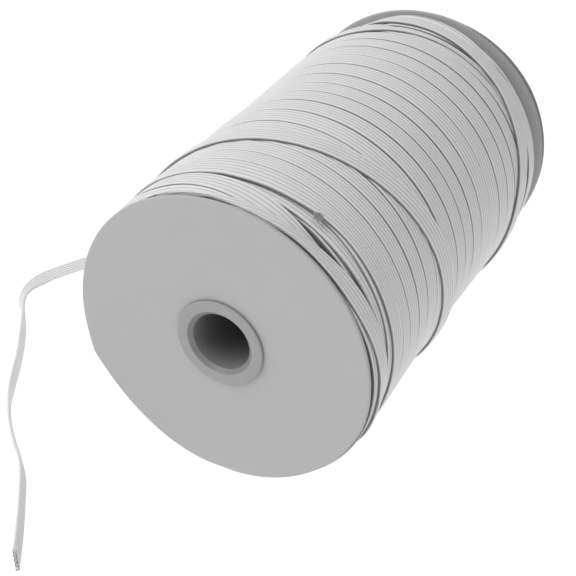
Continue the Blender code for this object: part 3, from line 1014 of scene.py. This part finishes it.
# At the back a tape crosses the turns, two turns slope down to the disc, and one turn strays.
far_tapes.append(lay_band("far_crossing", (
    (-180.0, 117.0), (-100.0, 115.0), (-60.0, 111.5), (-45.0, 109.4), (-30.0, 107.7), (-20.0, 107.1),
    (-5.0, 108.0), (5.0, 109.4), (14.0, 109.8), (45.0, 109.5), (60.0, 110.5), (80.0, 113.0),
    (120.0, 113.0)), limits=(
    (-30.0, -0.3, -0.3), (-10.0, -0.1, -0.8), (0.0, -0.1, -3.0), (8.0, -0.3, -3.5),
    (14.0, -0.3, -3.5), (45.0, -0.3, -3.5), (60.0, -1.9, -1.9)), tape_start=9.0))
shoulder = float(place_at(SEAMS[-1][0]))
for number in range(2):
    angle = path_angles(-180.0, 180.0)
    place = np.full_like(angle, shoulder + (number + 0.5) * SHOULDER_SPACING * TAPE_WIDTH)
    far_tapes.append(lay_tape(f"shoulder_turn_{number + 1}", angle, place, np.full_like(angle, TAPE_WIDTH)))
far_tapes.append(lay_turns("end_turn", 15 + TO_BOTTOM, 16 + TO_BOTTOM, (
    (20.0, 0.0, 0.0), (35.0, 0.0, 1.5), (55.0, 0.0, 1.5), (65.0, 0.6, 0.6), (74.0, 1.2, 0.0),
    (100.0, 1.2, 0.0))))

# Two tapes cross over all the others. The second is the roll's last turn: it leaves the roll
# where the roll meets the table, and goes on as the loose end.
far_tapes.append(lay_band("long_crossing", (
    (-130.0, 22.5), (-95.0, 25.0), (-60.0, 28.3), (-37.0, 30.6), (-7.0, 33.4), (10.0, 35.6), (33.0, 39.1),
    (50.0, 42.0), (65.0, 44.2), (80.0, 45.8), (96.5, 47.2), (140.0, 52.0), (165.0, 55.0)), tape_start=7.0,
    limits=((-130.0, -1.8, -1.8), (-112.0, -0.1, -0.1), (145.0, -0.1, -0.1), (165.0, -1.8, -1.8))))
far_tapes.append(lay_band("last_turn", (
    (-130.0, 124.0), (-80.0, 120.5), (-45.0, 117.3), (-25.0, 115.2), (-10.0, 114.4), (3.0, 114.6),
    (25.0, 113.2), (41.0, 110.7), (59.0, 107.9), (74.0, 104.7), (96.5, 99.0), (130.0, 98.6),
    (180.0, 100.0), (188.0, 100.0)), tape_start=8.0))

# Below the roll the last turn runs on, flat on the table, to where the loose end starts.
run = np.linspace(LOOSE_END_ROUTE[0][0], RUN_ON_START, 8)[:, None]
run_on = together(run, LOOSE_END_ROUTE[0][1] + section_share * TAPE_WIDTH, section_height)
run_on_places = together(run, section_share * TAPE_WIDTH)
far_tapes.append(skin_sections("run_on", run_on, run_on_places, tape_white))

for part, tapes in (("near", near_tapes), ("middle", middle_tapes), ("far", far_tapes)):
    show(join_pieces(f"wound_tape_{part}", tapes), "elastic", "wound_elastic")


# ----------------------------------------
# A tuft of lint, caught in the seam beside the near turn: a few loose threads of the tape's
# polyester, pulled out by wear and matted into a small knot.

TUFT_ANGLE = math.radians(30.0)
TUFT_DISTANCE = 0.0117
TUFT_HEIGHT = 0.00035
TUFT_LENGTH = 0.0030
TUFT_BREADTH = 0.0015
TUFT_THREADS = 11
TUFT_THREAD_RADIUS = 0.00014
LINT_GREY = 0.37
LINT_PATCHINESS = 0.3

lint_grey = tape_finish("matted_lint", LINT_GREY, 0.0, 0.0, LINT_PATCHINESS)


def tuft_thread(number):
    """One thread of the tuft: a wavy loop across the seam, at its own phase."""
    share = np.linspace(-0.5, 0.5, 15)
    phase = 2.4 * number
    along_roll = TUFT_DISTANCE + TUFT_LENGTH * share * (0.8 + 0.2 * math.sin(1.7 * number))
    round_roll = TUFT_BREADTH * (0.45 * math.sin(phase) + 0.35 * np.sin(5.0 * share + phase))
    rise = TUFT_HEIGHT * (1.0 - 1.6 * share ** 2 + 0.4 * np.sin(7.0 * share + 1.3 * phase))
    radius = np.interp(along_roll, form_distance, form_radius) + rise
    angle = TUFT_ANGLE + round_roll / DISC_RADIUS
    points = about_axis(angle, along_roll, radius)
    return strand(f"lint_thread_{number}", points, TUFT_THREAD_RADIUS, lint_grey)


show(join_pieces("lint_tuft", [tuft_thread(number) for number in range(TUFT_THREADS)]), "elastic")


# ----------------------------------------
# The table and the light: a broad white table, a large soft light to the left above, and the
# even light of a white room.

TABLE_REACH = 1.5
TABLE_GREY = (0.20, 0.20, 0.20, 1.0)
TABLE_GLOW = 0.92
ROOM_LIGHT = 0.38
KEY_PLACE = (-0.42, -0.34, 0.84)
KEY_AIM = (0.0, 0.0, 0.04)
KEY_SIZE = 0.9
KEY_POWER = 6.4

table_white, _, _ = new_material("table_white", Base_Color=TABLE_GREY, Roughness=0.9,
                                 Emission_Color=(1.0, 1.0, 1.0, 1.0), Emission_Strength=TABLE_GLOW)
table_corners = np.array(((-1.0, -1.0, 0.0), (1.0, -1.0, 0.0), (1.0, 1.0, 0.0), (-1.0, 1.0, 0.0)))
table = new_piece("table", TABLE_REACH * table_corners, [(0, 1, 2, 3)], table_white)

world = bpy.data.worlds.new("white_room")
world.use_nodes = True
room = world.node_tree.nodes["Background"]
room.inputs["Color"].default_value = (1.0, 1.0, 1.0, 1.0)
room.inputs["Strength"].default_value = ROOM_LIGHT
bpy.context.scene.world = world

key = bpy.data.lights.new("key", "AREA")
key.shape = "SQUARE"
key.size = KEY_SIZE
key.energy = KEY_POWER
lamp = bpy.data.objects.new("key", key)
lamp.location = KEY_PLACE
lamp.rotation_euler = (Vector(KEY_AIM) - Vector(KEY_PLACE)).to_track_quat("-Z", "Y").to_euler()
bpy.context.scene.collection.objects.link(lamp)

bpy.context.scene.view_settings.view_transform = "Standard"
bpy.context.scene.view_settings.look = "None"
